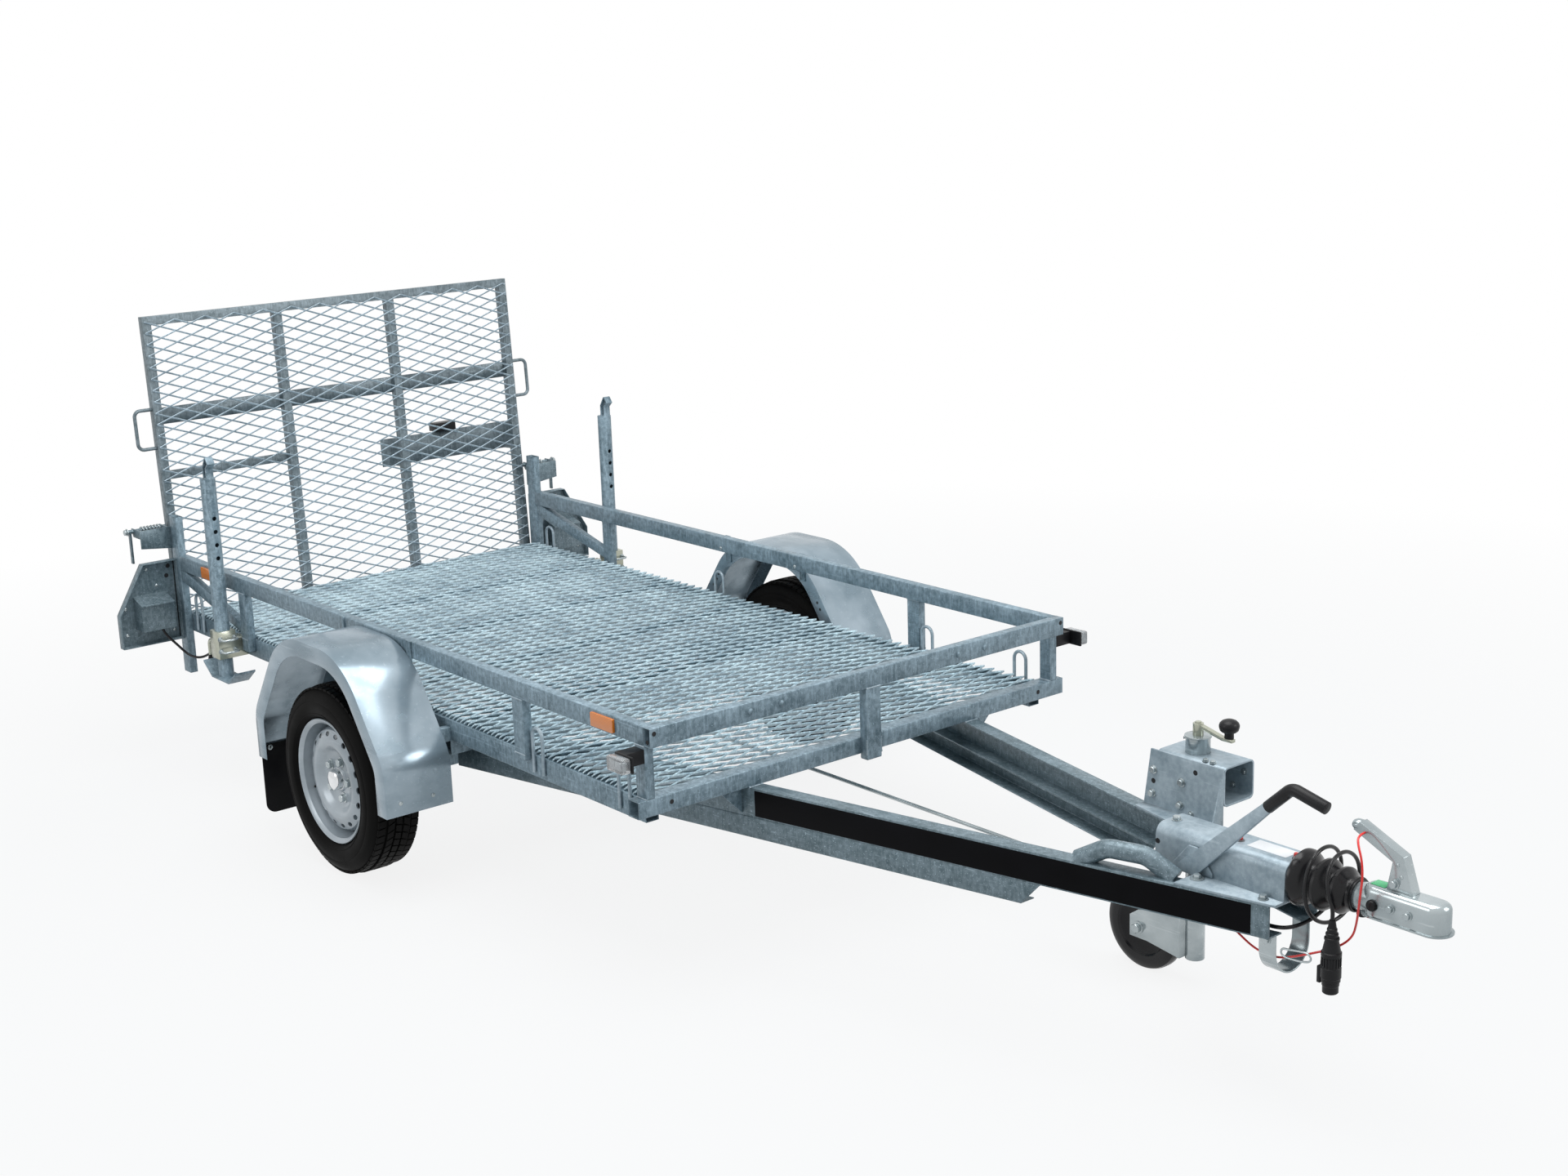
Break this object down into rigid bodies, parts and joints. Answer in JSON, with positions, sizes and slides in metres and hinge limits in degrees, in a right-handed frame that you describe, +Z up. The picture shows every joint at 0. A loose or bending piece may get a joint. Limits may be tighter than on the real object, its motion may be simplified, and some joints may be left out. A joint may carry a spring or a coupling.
{
  "type": "single-axle braked utility trailer",
  "caption": "Galvanised single-axle utility trailer with a mesh deck, rail, rear mesh ramp, prop stands, V drawbar and jockey wheel.",
  "frame": {"origin": "on the ground, under the middle of the whole trailer's box", "axes": "+X forwards to the coupling, +Y to the trailer's left, +Z up"},
  "size_m": [4.625, 1.868, 1.4753],
  "materials": {
    "galvanised_steel": "hot-dip galvanised, mottled",
    "zinc_sheet": "smooth zinc-coated sheet",
    "bright_zinc": "bright zinc plated",
    "rim_paint": "silver wheel paint, satin",
    "hub_iron": "bare machined iron",
    "tyre_rubber": "worn-in tread rubber",
    "black_rubber": "smooth moulded rubber",
    "black_plastic": "fine-grained black plastic",
    "clear_lens": "clear moulded lens",
    "red_lens": "red moulded lens",
    "orange_lens": "orange reflector lens"
  },
  "bodies": {
    "chassis": {"rail_front": "galvanised_steel", "rail_sides": "galvanised_steel", "rail_posts": "galvanised_steel", "latch_posts": "galvanised_steel", "rear_braces": "galvanised_steel", "front_sill": "galvanised_steel", "rear_sill": "galvanised_steel", "side_members": "galvanised_steel", "cross_members": "galvanised_steel", "deck_mesh": "galvanised_steel", "drawbar_beams": "galvanised_steel", "drawbar_doublers": "galvanised_steel", "axle_beam": "galvanised_steel", "trailing_arms": "galvanised_steel", "mudguards": "zinc_sheet", "guard_struts": "galvanised_steel", "mud_flaps": "black_rubber", "hinge_lugs": "galvanised_steel", "ramp_latches": "galvanised_steel", "stand_clamps": "galvanised_steel", "lashing_rings": "galvanised_steel", "light_boards": "galvanised_steel", "tail_lamps": "red_lens", "lamp_arms": "black_plastic", "front_lamps": "clear_lens", "side_reflectors": "orange_lens", "sill_gussets": "galvanised_steel", "overrun_housing": "galvanised_steel", "coupling_shaft": "galvanised_steel", "bellows": "black_rubber", "coupling_head": "bright_zinc", "coupling_handle": "bright_zinc", "brake_lever": "galvanised_steel", "lever_grip": "black_plastic", "safety_loop": "bright_zinc", "brake_rod": "bright_zinc", "jockey_bracket": "galvanised_steel", "jockey_tube": "bright_zinc", "jockey_crank": "bright_zinc", "crank_knob": "black_plastic", "plug_lead": "black_rubber", "lead_plug": "black_plastic", "cable_clip": "bright_zinc", "breakaway_cable": "red_lens"},
    "wheel_left": {"tyre_left": "tyre_rubber", "rim_left": "rim_paint", "hub_left": "hub_iron"},
    "wheel_right": {"tyre_right": "tyre_rubber", "rim_right": "rim_paint", "hub_right": "hub_iron"},
    "ramp": {"ramp_frame": "galvanised_steel", "ramp_mesh": "galvanised_steel", "ramp_handles": "galvanised_steel", "plate_holder": "galvanised_steel", "plate_lamp": "black_plastic"},
    "prop_left": {"prop_stand_left": "galvanised_steel"},
    "prop_right": {"prop_stand_right": "galvanised_steel"},
    "jockey_leg": {"jockey_leg": "bright_zinc"},
    "jockey_fork": {"jockey_fork": "bright_zinc"},
    "jockey_wheel": {"jockey_wheel": "black_rubber"}
  },
  "joints": [
    {"name": "wheel_left_spin", "type": "hinge", "parent": "chassis", "child": "wheel_left", "pos_m": [-0.7545, 0, 0.278], "axis": [0, 1, 0], "continuous": true},
    {"name": "wheel_right_spin", "type": "hinge", "parent": "chassis", "child": "wheel_right", "pos_m": [-0.7545, 0, 0.278], "axis": [0, 1, 0], "continuous": true},
    {"name": "ramp_hinge", "type": "hinge", "parent": "chassis", "child": "ramp", "pos_m": [-2.1855, 0, 0.414], "axis": [0, -1, 0], "range_deg": [0, 108]},
    {"name": "prop_left_slide", "type": "slide", "parent": "chassis", "child": "prop_left", "axis": [0, 0, 1], "range_m": [-0.35, 0]},
    {"name": "prop_right_slide", "type": "slide", "parent": "chassis", "child": "prop_right", "axis": [0, 0, 1], "range_m": [-0.35, 0]},
    {"name": "jockey_lift", "type": "slide", "parent": "chassis", "child": "jockey_leg", "axis": [0, 0, 1], "range_m": [0, 0.055]},
    {"name": "jockey_swivel", "type": "hinge", "parent": "jockey_leg", "child": "jockey_fork", "pos_m": [1.4285, 0.27, 0.072], "axis": [0, 0, 1], "continuous": true},
    {"name": "jockey_wheel_spin", "type": "hinge", "parent": "jockey_fork", "child": "jockey_wheel", "pos_m": [1.2745, 0.27, 0.114], "axis": [0, 1, 0], "continuous": true}
  ]
}
